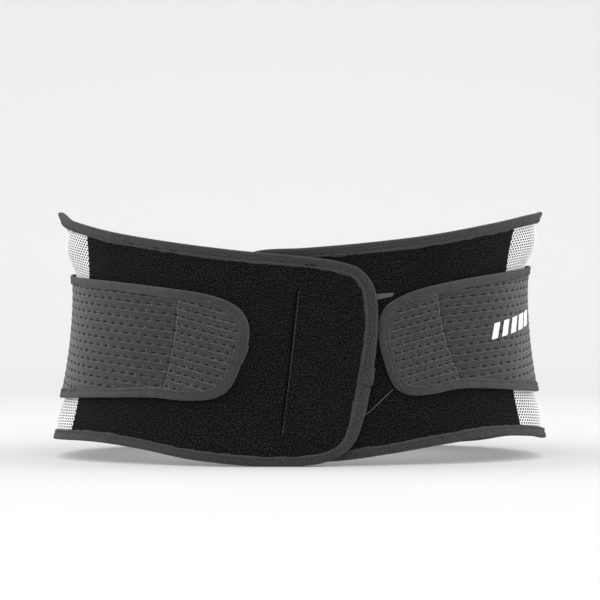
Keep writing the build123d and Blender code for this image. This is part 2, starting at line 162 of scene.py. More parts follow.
def slab(name, start, end, edges, inside, outside, material,
         step=0.0016, lifted=False, relief=None, fine=None):
    """A sheet of cloth with two faces and closed edges. start and end give its ends at a height,
    edges its lower and upper edge at a place along the belt, and fine a line with closer columns."""
    middle = WAIST_LEVEL / 1.5
    stops = [(start, step), (end, step)]
    if fine:
        stops[1:1] = [(lambda z: fine(z) - 0.003, step / 4), (lambda z: fine(z) + 0.003, step)]

    def columns(z):
        spans = []
        for (near, pitch), (far, _) in zip(stops, stops[1:]):
            count = max(2, round(abs(far(middle) - near(middle)) / pitch))
            t = np.linspace(0, 1, count, endpoint=False)
            spans.append(near(z) * (1 - t) + far(z) * t)
        return np.concatenate(spans + [end(z)], -1)

    lower, upper = edges(columns(np.array([middle])))
    rows = max(3, round(float((upper - lower).max()) / step))
    t = np.linspace(0, 1, rows)[:, None]
    z = lower * (1 - t) + upper * t
    uu = columns(z[:, :1])
    out = outside + (relief(uu, z) if relief else 0 * z)
    front = wrap(uu, z, out, lifted).reshape(-1, 3)
    back = wrap(uu, z, inside + 0 * z, lifted).reshape(-1, 3)
    n = len(front)
    index = np.arange(n).reshape(z.shape)
    rim = np.concatenate([index[0], index[1:, -1], index[-1, -2::-1], index[-2:0:-1, 0]])
    walls = np.stack([rim, np.roll(rim, -1), np.roll(rim, -1) + n, rim + n], -1)[:, ::-1]
    faces = [grid_faces(rows, z.shape[1]), grid_faces(rows, z.shape[1], n, flip=True), walls]
    flat = np.stack([uu.ravel(), z.ravel()], -1)
    cloth = piece(name, np.vstack([front, back]), np.vstack(faces), np.vstack([flat, flat]), material)
    corners = {tuple(sorted(pair)) for pair in np.concatenate([walls[:, :2], walls[:, 2:]]).tolist()}
    for edge in cloth.data.edges:
        edge.use_edge_sharp = tuple(sorted(edge.vertices)) in corners
    return cloth


def nodes_of(name):
    """A new material with its shader, cloth coordinates and a function that adds linked nodes."""
    material = bpy.data.materials.new(name)
    material.use_nodes = True
    tree = material.node_tree
    shader = tree.nodes["Principled BSDF"]

    def add(kind, inputs=(), **settings):
        node = tree.nodes.new("ShaderNode" + kind)
        for key, value in settings.items():
            setattr(node, key, value)
        for key, value in dict(inputs).items():
            if isinstance(value, bpy.types.NodeSocket):
                tree.links.new(value, node.inputs[key])
            else:
                node.inputs[key].default_value = value
        return node

    cloth = add("UVMap", uv_map="cloth").outputs[0]
    return material, tree, shader, cloth, add


def grey(value, tint=0.0):
    return (value, value, value * (1 + tint), 1)


def brushed_cloth(name, dark, light, grain, nap, height, sheen=0.0, rough=0.95, spread=(0.36, 0.74)):
    """Knitted cloth with a raised nap: tufts of one size, finer fibre on them, and worn patches."""
    material, tree, shader, cloth, add = nodes_of(name)
    tufts = add("TexNoise", {"Vector": cloth, "Scale": grain, "Detail": 3.0, "Roughness": 0.65})
    fibre = add("TexNoise", {"Vector": cloth, "Scale": nap, "Detail": 2.0})
    wear = add("TexNoise", {"Vector": cloth, "Scale": 28.0, "Detail": 3.0})
    tone = add("ValToRGB", {"Fac": tufts.outputs[0]})
    tone.color_ramp.elements[0].position, tone.color_ramp.elements[1].position = spread
    tone.color_ramp.elements[0].color, tone.color_ramp.elements[1].color = grey(dark), grey(light)
    worn = add("MapRange", {"Value": wear.outputs[0], "From Min": 0.3, "From Max": 0.7,
                            "To Min": 0.85, "To Max": 1.15})
    shade = add("Mix", {0: 1.0, 6: tone.outputs[0], 7: worn.outputs[0]},
                data_type="RGBA", blend_type="MULTIPLY")
    tree.links.new(shade.outputs[2], shader.inputs["Base Color"])
    rise = add("Math", {0: tufts.outputs[0], 1: fibre.outputs[0]}, operation="ADD")
    bump = add("Bump", {"Height": rise.outputs[0], "Strength": 0.9, "Distance": height})
    tree.links.new(bump.outputs[0], shader.inputs["Normal"])
    shader.inputs["Roughness"].default_value = rough
    shader.inputs["Specular IOR Level"].default_value = 0.12
    shader.inputs["Sheen Weight"].default_value = sheen
    shader.inputs["Sheen Roughness"].default_value = 0.6
    return material


def outline(left, *stops):
    """An edge of the cut cloth through a few stops: x on the front or back, or y on a side, and z."""
    line = []
    for where, at, z in stops:
        if where == "side":
            line.append((place(z, side=(left, at)), z * MM))
        elif where == "back" and at == 0:
            line.append((-HALF_GIRTH if left else HALF_GIRTH, z * MM))
        else:
            line.append((place(z, **{where: at}), z * MM))
    return curve(line)


def edges_of(line):
    """The lower and upper edges of a tongue of cloth, from its outline round the free end."""
    tip = int(np.argmax(np.abs(line[:, 0] - line[0, 0])))
    upper, lower = line[: tip + 1], line[tip:]
    upper = upper[np.argsort(upper[:, 0])]
    lower = lower[np.argsort(lower[:, 0])]
    return lambda u: (np.interp(u, *lower.T), np.interp(u, *upper.T))


def stitches(name, line, material, length, gap, width, out, lifted=False, slant=0.0):
    """A row of short thread stitches along a flat line, each a small lozenge pressed in the cloth."""
    line = even(np.asarray(line), 0.0005)
    spacing = max(1, round((length + gap) / 0.0005))
    middles = np.arange(spacing // 2, len(line) - 2, spacing)
    along = np.gradient(line, axis=0)
    along /= np.linalg.norm(along, axis=1)[:, None]
    d = along[middles]
    lean = np.where(np.arange(len(middles)) % 2, slant, -slant)[:, None]
    side = np.stack([-d[:, 1], d[:, 0]], -1)
    d, side = d * np.cos(lean) + side * np.sin(lean), side * np.cos(lean) - d * np.sin(lean)
    rings = [(-0.5, 0.25, 0.0), (-0.3, 1.0, 0.55), (0.0, 1.0, 1.0), (0.3, 1.0, 0.55), (0.5, 0.25, 0.0)]
    points = []
    for run, wide, high in rings:
        for across, lift_up in ((-1, -0.4), (-0.6, 1.0), (0.6, 1.0), (1, -0.4)):
            flat = line[middles] + d * run * length + side * across * wide * width / 2
            points.append(wrap(flat[:, 0], flat[:, 1], out + high * lift_up * width * 0.5, lifted))
    points = np.stack(points, 1)
    faces, caps = grid_faces(5, 4, closed=True), np.array([[3, 2, 1, 0], [16, 17, 18, 19]])
    one = np.vstack([faces, caps])
    every = (one[None] + 20 * np.arange(len(middles))[:, None, None]).reshape(-1, 4)
    uv = np.tile(np.linspace(0, 0.01, 20)[:, None], (len(middles), 2))
    return piece(name, points.reshape(-1, 3), every, uv, material)


LUMBAR_HALF, LUMBAR_EDGE, LUMBAR_MIDDLE = 80.0, 159.0, 156.0
STAYS, STAY_FOOT, STAY_HEAD = (-56.0, -20.0, 20.0, 56.0), 0.015, 0.139
SEAM_ALLOWANCE = 0.004
fleece = brushed_cloth("black_fleece", 0.0001, 0.025, 1000.0, 3000.0, 0.0014, spread=(0.47, 0.60))
knit = brushed_cloth("lining_knit", 0.008, 0.020, 1500.0, 3500.0, 0.0004)
thread = brushed_cloth("grey_thread", 0.03, 0.07, 2500.0, 5000.0, 0.0001)
lumbar_right = place(80.0, back=LUMBAR_HALF)
lumbar_left = 2 * HALF_GIRTH - lumbar_right
stay_lines = [place(80.0, back=x) % (2 * HALF_GIRTH) for x in STAYS]


def lumbar_edges(u):
    bow = ((u - HALF_GIRTH) / (lumbar_left - HALF_GIRTH)) ** 2
    top = (LUMBAR_MIDDLE + (LUMBAR_EDGE - LUMBAR_MIDDLE) * bow) * MM - SEAM_ALLOWANCE
    return SEAM_ALLOWANCE + 0 * u, top


def crowned_channels(u, z):
    """Each stay pushes a soft ridge out of the cover, and the stitches beside it pull it in."""
    rise = 0 * u
    ends = np.clip((z - STAY_FOOT) / 0.006, 0, 1) * np.clip((STAY_HEAD - z) / 0.006, 0, 1)
    for line in stay_lines:
        d = np.abs(u - line) / 0.0085
        rise = rise + ends * (0.0011 * np.clip(1 - d**2, 0, 1) - 0.0005 * np.exp(-((d - 1.05) / 0.16) ** 2))
    return rise + 0.00025 * np.sin(u * 95) * np.sin(z * 70)


for name, node, inside, outside, cloth, relief in (
    ("lumbar_lining_cloth", "lumbar_lining", 0.0, 0.001, knit, None),
    ("lumbar_cover_cloth", "lumbar_panel", 0.0024, PANEL, fleece, crowned_channels),
):
    layer = slab(name, lambda z: lumbar_right + 0 * z, lambda z: lumbar_left + 0 * z,
                 lumbar_edges, inside, outside, cloth, relief=relief)
    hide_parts(node)
    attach(layer, "back")

for number, line in enumerate(stay_lines):
    for side in (-1, 1):
        u = line + side * 0.0090
        seam = stitches(f"channel_stitches_{number}_{'left' if side < 0 else 'right'}",
                        [(u, STAY_FOOT), (u, STAY_HEAD)], thread, 0.0022, 0.0011, 0.0007, PANEL - 0.0003)
        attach(seam, "back")

# ---------------------------------------------------------------------------------------------
# Foam core, stay channels and the four flat spring-steel stays, sealed inside the lumbar
# section. Their machined and cut shapes come from the frame and only get their finishes here.
# ---------------------------------------------------------------------------------------------
foam = brushed_cloth("closed_cell_foam", 0.012, 0.03, 1200.0, 3000.0, 0.0003)
steel, tree, shader, _, add = nodes_of("spring_steel")
where = add("TexCoord").outputs["Object"]
rolled = add("TexNoise", {"Vector": where, "Scale": 500.0, "Detail": 4.0, "Distortion": 1.5})
tone = add("ValToRGB", {"Fac": rolled.outputs[0]})
tone.color_ramp.elements[0].color, tone.color_ramp.elements[1].color = grey(0.38), grey(0.62)
tree.links.new(tone.outputs[0], shader.inputs["Base Color"])
bump = add("Bump", {"Height": rolled.outputs[0], "Strength": 0.2, "Distance": 0.0001})
tree.links.new(bump.outputs[0], shader.inputs["Normal"])
shader.inputs["Metallic"].default_value = 1.0
shader.inputs["Roughness"].default_value = 0.32
for node, finish in (
    ("lumbar_core", foam), ("stay_casings", knit), ("left_outer_stay", steel),
    ("left_inner_stay", steel), ("right_inner_stay", steel), ("right_outer_stay", steel),
):
    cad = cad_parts[node]
    cad.data.materials.clear()
    cad.data.materials.append(finish)

# ---------------------------------------------------------------------------------------------
# Mesh sides: an open white spacer knit with staggered oval holes, over a thin dark backing. They
# are sewn to the lumbar section behind and to the front wings along a slightly bowed seam, and
# stretch round the waist.
# ---------------------------------------------------------------------------------------------
HOLE_PITCH, HOLE_ROWS, MESH_OUT, MESH_SKIN = 0.0029, 76, 0.0030, 0.0003
PUFF_ABOVE, PUFF_BELOW, FREE_ABOVE, FREE_BELOW = 0.0044, 0.0026, 0.028, 0.023
OUTER_EDGE = (
    ("back", 0, 156), ("back", -80, 159), ("side", 60, 173.3), ("side", 25, 177), ("side", -8, 180),
    ("side", -41, 174), ("front", -160.6, 168.2),
    ("front", -128.8, 158.6), ("front", -82.8, 150.3), ("front", -39, 144.4), ("front", -2, 140.9),
    ("front", 27, 136.7), ("front", 39.4, 131.9), ("front", 48, 120.2), ("front", 50.6, 103),
    ("front", 49.7, 82), ("front", 46.4, 58), ("front", 41.4, 33), ("front", 33.5, 13.6), ("front", 18, 3.4),
    ("front", -18, 0), ("front", -66, 3.7), ("front", -110, 10.9), ("front", -145, 14.5),
    ("side", 0, 12.3), ("side", 43, 12), ("side", 74, 9.8), ("side", 100, 4.6),
    ("back", -80, 0.4), ("back", 0, 0),
)
INNER_EDGE = (
    ("back", 0, 156), ("back", 80, 159), ("side", 60, 173.3), ("side", 25, 177), ("side", -8, 180),
    ("side", -41, 177), ("front", 163, 173.2),
    ("front", 137.7, 166), ("front", 91.4, 156.2), ("front", 47.4, 150.4), ("front", 4, 146.6),
    ("front", -30, 144.4), ("front", -44, 138), ("front", -50, 124), ("front", -50, 75),
    ("front", -50, 26), ("front", -44, 10), ("front", -28, 4), ("front", 20, 3), ("front", 58, 7.5),
    ("front", 101.7, 14.4), ("front", 139, 18.5), ("side", 0, 12.3), ("side", 43, 12), ("side", 74, 9.8),
    ("side", 100, 4.6), ("back", 80, 0.4), ("back", 0, 0),
)
SEAMS = {
    True: ((17, -162.5), (42, -156.4), (85, -152), (128, -149.2), (157, -150.4)),
    False: ((20, 152), (36, 150.6), (51, 146.4), (90, 144.6), (134, 145.2), (163, 146.8)),
}


def wing_line(left):
    return outline(left, *(OUTER_EDGE if left else INNER_EDGE))


def seam_of(left):
    """Where a front wing is sewn to the mesh, at any height."""
    heights = np.array([z for z, _ in SEAMS[left]]) * MM
    places = np.array([place(z, front=x) for z, x in SEAMS[left]])
    fit = np.polyfit(heights, places, 3)
    return lambda z: np.polyval(fit, z)


def panel_edges(left):
    """The edges of the cloth under the binding, all the way from the middle of the back."""
    line = moved_in(wing_line(left), SEAM_ALLOWANCE if left else -SEAM_ALLOWANCE)
    return edges_of(line)


def puffed(left):
    """The free mesh above and below the strap swells out between the strap and the bindings."""
    seam, strap_top, strap_foot = seam_of(left), 0.134 if left else 0.140, 0.0426 if left else 0.047

    def relief(u, z):
        along = np.clip((np.abs(u) - np.abs(seam(z))) / 0.03, 0, 1) * np.clip((0.36 - np.abs(u)) / 0.06, 0, 1)
        above = np.sin(np.pi * np.clip((z - strap_top) / FREE_ABOVE, 0, 1))
        below = np.sin(np.pi * np.clip((strap_foot - z) / FREE_BELOW, 0, 1))
        return along * (PUFF_ABOVE * above + PUFF_BELOW * below)
    return relief


def open_knit(name, start, end, edges, material, relief):
    """A skin of cloth with real holes: each cell is a ring of cloth with a short wall inside. Its
    rows run between the lower and the upper edge, and every other row is shifted by half a cell."""
    columns = math.ceil(abs(end(0.09) - start(0.09)) / HOLE_PITCH)
    k = np.arange(6)
    n = (k + 1) % 6
    turn = np.radians(60 * k + 30)
    corner = np.stack([np.array([1, 0, -1, -1, 0, 1]) / 2, np.array([1, 2, 1, -1, -2, -1]) / 3], -1)
    hole = np.stack([0.40 * np.cos(turn), 0.46 * np.sin(turn)], -1)
    row, column = np.meshgrid(np.arange(HOLE_ROWS), np.arange(columns), indexing="ij")
    middle = np.stack([column + 0.5 + 0.5 * (row % 2), row + 0.5], -1).reshape(-1, 1, 2)
    cells = np.concatenate([middle + corner, middle + hole, middle + hole], 1)
    t = np.clip(cells[..., 1] / HOLE_ROWS, 0, 1)
    s = np.clip(cells[..., 0] / columns, 0, 1)
    z = 0.09 + 0 * t
    for _ in range(3):
        u = start(z) * (1 - s) + end(z) * s
        lower, upper = edges(u)
        z = lower * (1 - t) + upper * t
    out = np.repeat([MESH_OUT, MESH_OUT - 0.0001, MESH_OUT - MESH_SKIN], 6)
    points = wrap(u, z, out + relief(u, z))
    one = np.concatenate([np.stack([k, n, n + 6, k + 6], -1), np.stack([k + 6, n + 6, n + 12, k + 12], -1)])
    if end(0.09) < start(0.09):
        one = one[:, ::-1]
    faces = (one[None] + 18 * np.arange(len(cells))[:, None, None]).reshape(-1, 4)
    flat = np.stack([u, z], -1).reshape(-1, 2)
    return piece(name, points.reshape(-1, 3), faces, flat, material, smooth=False)


white_knit = brushed_cloth("white_open_knit", 0.90, 0.98, 1400.0, 3200.0, 0.0002, sheen=0.1)
backing = brushed_cloth("mesh_backing", 0.012, 0.03, 1100.0, 3000.0, 0.0004)
for left in (True, False):
    name, body, side = ("left", "outer_wing", -1) if left else ("right", "inner_wing", 1)
    seam, edges = seam_of(left), panel_edges(left)
    behind = place(80.0, back=side * LUMBAR_HALF)
    start, end = ((lambda z: behind + 0 * z), seam) if left else (seam, (lambda z: behind + 0 * z))
    sheet = slab(f"{name}_mesh_backing", start, end, edges, 0.0, MESH_OUT - MESH_SKIN - 0.0001, backing,
                 step=0.002, relief=puffed(left))
    skin = open_knit(f"{name}_mesh_cloth", start, end, edges, white_knit, puffed(left))
    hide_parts(f"{name}_mesh_panel")
    for layer in (sheet, skin):
        wrap(np.array(float(seam(0.09))), 0.09, 0.0)
        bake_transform(layer)
    abs(behind - float(seam(0.09)))

# ---------------------------------------------------------------------------------------------
# Front wings: black loop fleece outside, which both hook closures grip, and a knit lining inside.
# The outer wing carries a hook patch sewn inside its free end; its inner edge shows outside as a
# pressed-in seam with a row of thread beside it. The outer wing rises over the inner one, and a
# loose thread lies on the inner wing below the right strap's end.
# ---------------------------------------------------------------------------------------------
PATCH_SEAM = ((27, -11.4), (70, -6.7), (116, -1.7))
LINING = 0.0015


def patch_seam(z):
    heights = np.array([h for h, _ in PATCH_SEAM]) * MM
    return np.polyval(np.polyfit(heights, [place(h, front=x) for h, x in PATCH_SEAM], 1), z)


def outer_relief(u, z):
    """The pressed seam with its raised lip, a slight drag line, and the loose cloth's swell."""
    d = (u - patch_seam(z)) / 0.0006
    ends = np.clip((z - 0.024) / 0.006, 0, 1) * np.clip((0.119 - z) / 0.004, 0, 1)
    seam = ends * (0.0010 * np.exp(-(((d - 2.4) / 1.5) ** 2)) - 0.0028 * np.exp(-(d**2)))
    drag = (u - 0.014) * 0.75 + (z - 0.083) * -0.66
    reach = (u - 0.014) * 0.66 + (z - 0.083) * 0.75
    crease = -0.0003 * np.exp(-((drag / 0.0012) ** 2)) * np.exp(-((reach / 0.009) ** 2))
    return seam + crease + 0.0003 * np.sin(u * 61 + 1) * np.sin(z * 55)


def inner_relief(u, z):
    return 0.0003 * np.sin(u * 57) * np.sin(z * 48 + 1)


for left in (True, False):
    name, body = ("outer", "outer_wing") if left else ("inner", "inner_wing")
    seam, edges = seam_of(left), panel_edges(left)
    line = moved_in(wing_line(left), SEAM_ALLOWANCE if left else -SEAM_ALLOWANCE)
    tip = line[:, 0].max() - 0.0004 if left else line[:, 0].min() + 0.0004
    start, end = (seam, lambda z: tip + 0 * z) if left else (lambda z: tip + 0 * z, seam)
    relief = outer_relief if left else inner_relief
    for layer, node, inside, outside, cloth, bend in (
        ("fleece", "panel", LINING, PANEL, fleece, relief),
        ("lining_cloth", "lining", 0.0, LINING, knit, None),
    ):
        sheet = slab(f"{name}_wing_{layer}", start, end, edges, inside, outside, cloth,
                     step=0.0011 if bend else 0.003, lifted=left, relief=bend,
                     fine=patch_seam if left and bend else None)
        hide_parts(f"{name}_{node}")
        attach(sheet, body)
        abs(tip - float(seam(0.08)))

press = np.linspace(0.022, 0.118, 200)
press = np.stack([patch_seam(press) + 0.0011, press], -1)
seam_thread = brushed_cloth("seam_thread", 0.02, 0.07, 2500.0, 6000.0, 0.0001, sheen=0.2)
row = stitches("patch_seam_row", press, seam_thread, 0.0026, 0.0006, 0.0006, PANEL + 0.0007, lifted=True)
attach(row, "outer_wing")
LOOSE_THREAD = ((41.1, 31.9), (47, 36.2), (54.5, 43.2), (61.5, 49.9))
loose = curve([(place(z, front=x), z * MM) for x, z in LOOSE_THREAD])
loose_thread = brushed_cloth("loose_thread", 0.10, 0.20, 2500.0, 6000.0, 0.0001, sheen=0.2)
strand = stitches("inner_wing_thread", loose, loose_thread, 0.0060, -0.0024, 0.0004, PANEL + 0.0003)
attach(strand, "inner_wing")

# ---------------------------------------------------------------------------------------------
# Closure hook patch: moulded hook tape sewn inside the outer wing's free end. Rows of tiny hooks
# stand on a woven base, and they hold on the inner wing's fleece.
# ---------------------------------------------------------------------------------------------
hook_tape, tree, shader, cloth, add = nodes_of("hook_tape")
hooks = add("TexVoronoi", {"Vector": cloth, "Scale": 620.0, "Randomness": 0.25})
tone = add("ValToRGB", {"Fac": hooks.outputs["Distance"]})
tone.color_ramp.elements[0].position, tone.color_ramp.elements[1].position = 0.1, 0.55
tone.color_ramp.elements[0].color, tone.color_ramp.elements[1].color = grey(0.06), grey(0.012)
tree.links.new(tone.outputs[0], shader.inputs["Base Color"])
bump = add("Bump", {"Height": hooks.outputs["Distance"], "Strength": 1.0, "Distance": -0.0008})
tree.links.new(bump.outputs[0], shader.inputs["Normal"])
shader.inputs["Roughness"].default_value = 0.5

patch_line = moved_in(wing_line(True), 0.0115)
patch_edges = edges_of(patch_line)
patch_tip = patch_line[:, 0].max() - 0.0004
patch = slab("closure_hook_tape", lambda z: patch_seam(z) + 0.002, lambda z: patch_tip + 0 * z, patch_edges,
             -0.0015, -0.0001, hook_tape, lifted=True)
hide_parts("closure_hook_patch")
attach(patch, "outer_wing")

# ---------------------------------------------------------------------------------------------
# Bindings: one napped knitted tape on each half of the belt, folded over the edge and sewn from
# the middle of the back round the wing's free end. An overlock seam runs along its inner edge.
# ---------------------------------------------------------------------------------------------
TAPE_FOLD = (  # across the tape from its inner edge, inside the belt, round the fold to its outer edge
    (8.4, 0.3), (8.0, -0.25), (7.0, -0.45), (4.0, -0.5), (1.2, -0.45), (0.2, 0.1), (-0.3, 1.0), (-0.4, 1.9),
    (-0.3, 2.8), (0.2, 3.6), (1.2, 4.05), (2.6, 4.2), (4.0, 4.2), (5.4, 4.1), (6.0, 3.85), (6.5, 3.95),
    (7.6, 3.95), (8.2, 3.8), (8.6, 3.2),
)


def breadth(line):
    """How broad the tape shows along an outline: full up a free end, less along the long edges."""
    return np.interp(line[:, 1], [0.008, 0.038, 0.112, 0.138], [0.76, 1.04, 1.04, 0.87])


def folded_tape(name, line, fold, material, inwards=1.0, lifted=False, uneven=0.00025, seed=1, swell=0.0):
    """Sweep a folded tape along a flat outline. Its cloth runs (along, across) in its UV map."""
    rng = np.random.default_rng(seed)
    length = np.concatenate([[0], np.cumsum(np.linalg.norm(np.diff(line, axis=0), axis=1))])
    knots = np.linspace(0, length[-1], max(4, int(length[-1] / 0.004)))
    wobble = np.interp(length, knots, rng.normal(0, uneven, len(knots)))
    puff = np.interp(length, knots, rng.normal(0, uneven, len(knots)))
    d = np.gradient(line, axis=0)
    d /= np.linalg.norm(d, axis=1)[:, None]
    side = inwards * np.stack([d[:, 1], -d[:, 0]], -1)
    fold = np.array(fold) * MM
    outer = fold[None, :, 1] > fold[:, 1].mean()
    across = fold[None, :, 0] * breadth(line)[:, None] + wobble[:, None] * (fold[None, :, 0] > 0.002)
    across = across - swell * (fold[None, :, 0] < 0.001)
    flat = line[:, None, :] + side[:, None, :] * across[..., None]
    out = fold[None, :, 1] + outer * (puff[:, None] * 0.6 + swell)
    points = wrap(flat[..., 0], flat[..., 1], out, lifted)
    n = len(fold)
    faces = grid_faces(len(line), n, flip=inwards > 0, closed=True).tolist()
    first, last = list(range(n)), list(range((len(line) - 1) * n, len(line) * n))
    faces += [first[::-1], last] if inwards < 0 else [first, last[::-1]]
    around_it = np.concatenate([[0], np.cumsum(np.linalg.norm(np.diff(fold, axis=0), axis=1))])
    uv = np.stack([np.broadcast_to(length[:, None], across.shape),
                   np.broadcast_to(around_it, across.shape)], -1)
    tape = piece(name, points.reshape(-1, 3), faces, uv.reshape(-1, 2), material)
    ends = set(first), set(last)
    for edge in tape.data.edges:
        edge.use_edge_sharp = any(set(edge.vertices) <= end for end in ends)
    return tape


def tape_join(name, line, x, z, fold, material, inwards, lifted):
    """Where the tape's two ends meet: the last stretch laps over the first, a little thicker."""
    at = int(np.argmin(np.hypot(line[:, 0] - place(z, front=x), line[:, 1] - z * MM)))
    lap = even(line[at - 3:at + 4], 0.0008)
    return folded_tape(name, lap, fold, material, inwards, lifted, uneven=0.0003, seed=at, swell=0.0007)


napped_tape = brushed_cloth("napped_binding", 0.006, 0.058, 1000.0, 3000.0, 0.0011,
                            sheen=0.2, spread=(0.42, 0.66))
overlock = brushed_cloth("overlock_thread", 0.01, 0.12, 2200.0, 6000.0, 0.0001, sheen=0.2)
for left in (True, False):
    name, body, side = ("outer", "outer_wing", -1) if left else ("inner", "inner_wing", 1)
    line = wing_line(left)
    inwards = 1.0 if left else -1.0
    tape = folded_tape(f"{name}_edge_binding", line, TAPE_FOLD, napped_tape, inwards,
                       lifted=left, seed=3 + left)
    seam_line = moved_in(line, inwards * 0.0071 * breadth(line))
    stitch = stitches(f"{name}_overlock", seam_line, overlock, 0.0021, -0.0004, 0.0008, 0.0042,
                      lifted=left, slant=0.75)
    things = [tape, stitch]
    if left:
        things.append(tape_join("outer_binding_join", line, 46.5, 59, TAPE_FOLD, napped_tape, inwards, True))
    for thing in things:
        seam = seam_of(left)
        wrap(np.array(float(seam(0.09))), 0.09, 0.0)
        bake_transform(thing)
    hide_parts(f"{name}_binding")
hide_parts("back_top_binding", "back_bottom_binding")

# ---------------------------------------------------------------------------------------------
# Finger tab: a short folded tape sewn under the outer wing's end, to start peeling it by.
# ---------------------------------------------------------------------------------------------
TAB_RISE, TAB_LEVEL, TAB_HALF_FOOT, TAB_HALF_END = 0.163, 0.1134, 0.0021, 0.0012
TAB_ROOT, TAB_FOOT, TAB_END = place(115, front=40), place(115, front=50), place(115, front=62.9)


def tab_edges(u):
    middle = TAB_LEVEL + (u - TAB_FOOT) * TAB_RISE
    half = np.interp(u, [TAB_FOOT, TAB_END], [TAB_HALF_FOOT, TAB_HALF_END])
    half = half * np.sqrt(1 - np.clip((u - TAB_END + TAB_HALF_END) / TAB_HALF_END, 0, 0.98) ** 2)
    return middle - half, middle + half


tab_tape = brushed_cloth("grey_tab_tape", 0.05, 0.11, 1500.0, 4000.0, 0.0002, sheen=0.2)
tab = slab("finger_tab_tape", lambda z: TAB_ROOT + 0 * z, lambda z: TAB_END + 0 * z, tab_edges,
           -0.0015, -0.0005, tab_tape, step=0.0004, lifted=True,
           relief=lambda u, z: 0.0007 * (z - tab_edges(u)[0]) / 0.0036)
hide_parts("finger_tab")
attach(tab, "outer_wing")

# ---------------------------------------------------------------------------------------------
# Pull straps: wide ribbed elastic with rows of small slots, sewn under a tape on the lumbar
# cover, led round the side, and bound round its free end. The end's hook patch makes the last
# stretch lie flatter, with its slots closer together. Its cloth is cut in two where it bends.
# ---------------------------------------------------------------------------------------------
STRAP_IN, STRAP_OUT, ROW_PITCH, SLOT_LONG, SLOT_HIGH = 0.0049, 0.0067, 0.0055, 0.20, 0.12
STRAP_EDGE = {
    True: (("back", -70, 130), ("side", 60, 132), ("side", 0, 134.2), ("front", -157.4, 129.4),
           ("front", -132.3, 125.6), ("front", -98.2, 121), ("front", -74.4, 117.7), ("front", -59, 114.8),
           ("front", -46.5, 110.4), ("front", -37, 103.6), ("front", -32.5, 93), ("front", -33.2, 81),
           ("front", -37, 69.5), ("front", -42, 56.5), ("front", -48.2, 48.5), ("front", -58.5, 44.6),
           ("front", -78, 44.1), ("front", -94.2, 45.6), ("front", -122.3, 45.4), ("front", -152, 44.5),
           ("side", 0, 42.6), ("side", 60, 44), ("back", -70, 45)),
    False: (("back", 70, 130), ("side", 60, 134), ("side", 0, 140.4), ("front", 158.5, 135.8),
            ("front", 142.5, 132.2), ("front", 124.5, 128.8), ("front", 107, 125.3), ("front", 80, 118.7),
            ("front", 67, 113.4), ("front", 58.4, 107.8), ("front", 53.7, 100), ("front", 52.4, 89),
            ("front", 53.6, 79.5), ("front", 56.6, 68.5), ("front", 60.2, 58.3), ("front", 64.8, 51.2),
            ("front", 73.4, 47.4), ("front", 87.6, 48), ("front", 106.3, 51.5), ("front", 123.6, 51.6),
            ("front", 146, 50.4), ("side", 0, 46.9), ("side", 60, 46), ("back", 70, 45)),
}
STRAP_SEAM = {
    True: ((58, -86.8), (72, -83.4), (84, -81.1), (110, -78.5)),
    False: ((60, 106), (68, 103.3), (86, 96.7), (112, 92.7)),
}
STRAP_FOLD = (
    (6.0, 4.9), (5.6, 4.5), (3.0, 4.4), (1.0, 4.45), (0.1, 4.9), (-0.3, 5.6), (-0.3, 6.3),
    (0.1, 6.9), (0.9, 7.3),
    (2.2, 7.45), (3.4, 7.35), (4.0, 7.1), (4.5, 7.4), (5.2, 7.5), (5.8, 7.3), (6.2, 6.6),
)


def strap_seam(left):
    heights = np.array([h for h, _ in STRAP_SEAM[left]]) * MM
    fit = np.polyfit(heights, [place(h, front=x) for h, x in STRAP_SEAM[left]], 2)
    return lambda z: np.polyval(fit, z)


def weave(left, u, z):
    """Where a point lies in the weave: slots along a row, and rows downwards."""
    side = -1 if left else 1
    free = (u - strap_seam(left)(z)) * side
    rows = -(z - np.where(free > 0, 0.115, 0.29) * (u - strap_seam(left)(0.085)) * side) / ROW_PITCH
    along = np.where(free > 0, free / 0.0088 + 123 * np.minimum(free, 0.09) ** 2, free / 0.0056)
    return along, rows


def slotted(left):
    """The slots dip into the elastic, and its end lies a little proud over the hook patch."""
    def relief(u, z):
        along, rows = weave(left, u, z)
        across = np.abs(np.mod(rows, 1) - 0.5)
        run = np.abs(np.mod(along + 0.5 * np.floor(rows), 1) - 0.5)
        slot = np.clip((SLOT_LONG + 0.06 - run) / 0.08, 0, 1)
        slot = slot * np.clip((SLOT_HIGH + 0.05 - across) / 0.08, 0, 1)
        free = (u - strap_seam(left)(z)) * (-1 if left else 1)
        step = 0.00035 * np.clip(0.5 - free / 0.0015, 0, 1) - 0.0005 * np.exp(-((free / 0.0007) ** 2))
        ripple = 0.00018 * np.sin(u * 120 + z * 30)
        return step + ripple - 0.0009 * slot - 0.00012 * np.cos(rows * 2 * math.pi)
    return relief


def weave_map(obj, left):
    """A second UV map that counts slots and rows, so that the weave follows the strap."""
    cloth = np.zeros(len(obj.data.loops) * 2)
    obj.data.uv_layers["cloth"].data.foreach_get("uv", cloth)
    along, rows = weave(left, cloth[0::2], cloth[1::2])
    layer = obj.data.uv_layers.new(name="weave")
    layer.data.foreach_set("uv", np.stack([along, rows], -1).ravel())


